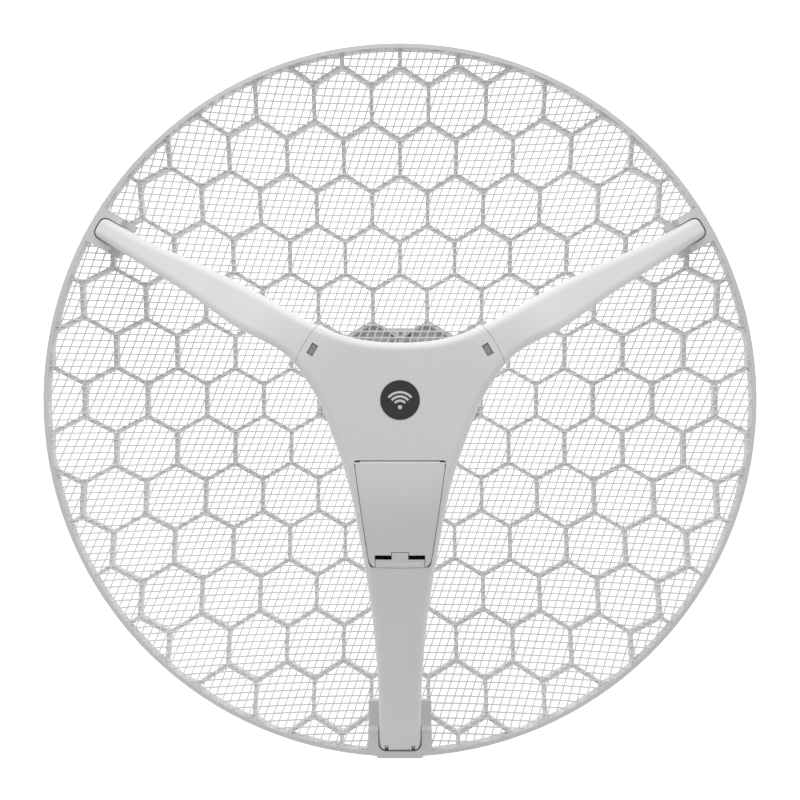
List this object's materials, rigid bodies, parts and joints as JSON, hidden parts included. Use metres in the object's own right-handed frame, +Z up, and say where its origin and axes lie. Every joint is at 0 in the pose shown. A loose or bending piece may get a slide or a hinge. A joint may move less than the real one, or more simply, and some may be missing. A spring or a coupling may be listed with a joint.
{
  "type": "parabolic grid antenna",
  "caption": "Parabolic grid dish antenna with hexagonal ribs, a wire screen, a three-armed feed hub with a port door, and a tilting pole clamp.",
  "frame": {"origin": "middle of the pole clamp's bore, on the pole's axis", "axes": "+Z up along the pole; the dish faces -Y; +X to the right as seen from the front"},
  "size_m": [0.391, 0.2504, 0.3919],
  "materials": {
    "grid_coating": "satin powder coat",
    "screen_wire": "satin powder coat",
    "cover_plastic": "fine satin moulding",
    "door_plastic": "fine satin moulding",
    "badge_plastic": "smooth dark",
    "circuit_board": "green solder mask",
    "zinc_steel": "zinc plated",
    "feed_metal": "bare",
    "nylon": "natural",
    "tin_plate": "tin plated",
    "black_plastic": "moulded",
    "led_lens": "clear tinted",
    "bracket_plastic": "moulded, glass filled",
    "stainless_band": "rolled band"
  },
  "bodies": {
    "dish": {"reflector_grid": "grid_coating", "reflector_mesh": "screen_wire", "front_cover": "cover_plastic", "right_arm": "cover_plastic", "left_arm": "cover_plastic", "hub_rear_cover": "cover_plastic", "lower_arm_cover": "cover_plastic", "front_badge": "badge_plastic", "main_board": "circuit_board", "board_screws": "zinc_steel", "cover_screws": "zinc_steel", "feed_patch": "feed_metal", "feed_plate": "feed_metal", "feed_posts": "nylon", "rf_shield": "tin_plate", "ethernet_jack": "tin_plate", "button_base": "black_plastic", "status_leds": "led_lens", "mount_bracket": "bracket_plastic", "bracket_screws": "zinc_steel"},
    "door": {"port_door": "door_plastic"},
    "latch": {"door_latch": "door_plastic"},
    "button": {"reset_button": "black_plastic"},
    "pole_mount": {"pole_saddle": "bracket_plastic", "tilt_bolt": "zinc_steel", "tilt_nut": "zinc_steel", "tilt_washers": "zinc_steel", "clamp_band": "stainless_band", "clamp_housing": "stainless_band"},
    "band_screw": {"clamp_screw": "zinc_steel"}
  },
  "joints": [
    {"name": "elevation_tilt", "type": "hinge", "parent": "pole_mount", "child": "dish", "pos_m": [0, -0.033, 0], "axis": [1, 0, 0], "range_deg": [-15, 15]},
    {"name": "door_hinge", "type": "hinge", "parent": "dish", "child": "door", "pos_m": [0, -0.2188, -0.0302], "axis": [-1, 0, 0], "range_deg": [0, 80]},
    {"name": "latch_press", "type": "hinge", "parent": "door", "child": "latch", "pos_m": [0, -0.2092, -0.0736], "axis": [1, 0, 0], "range_deg": [0, 6], "stiffness_Nm_per_rad": 0.2},
    {"name": "button_press", "type": "slide", "parent": "dish", "child": "button", "axis": [0, 1, 0], "range_m": [0, 0.0007], "stiffness_N_per_m": 800},
    {"name": "band_screw_spin", "type": "hinge", "parent": "pole_mount", "child": "band_screw", "pos_m": [0, 0.0256, 0], "axis": [1, 0, 0], "continuous": true}
  ]
}
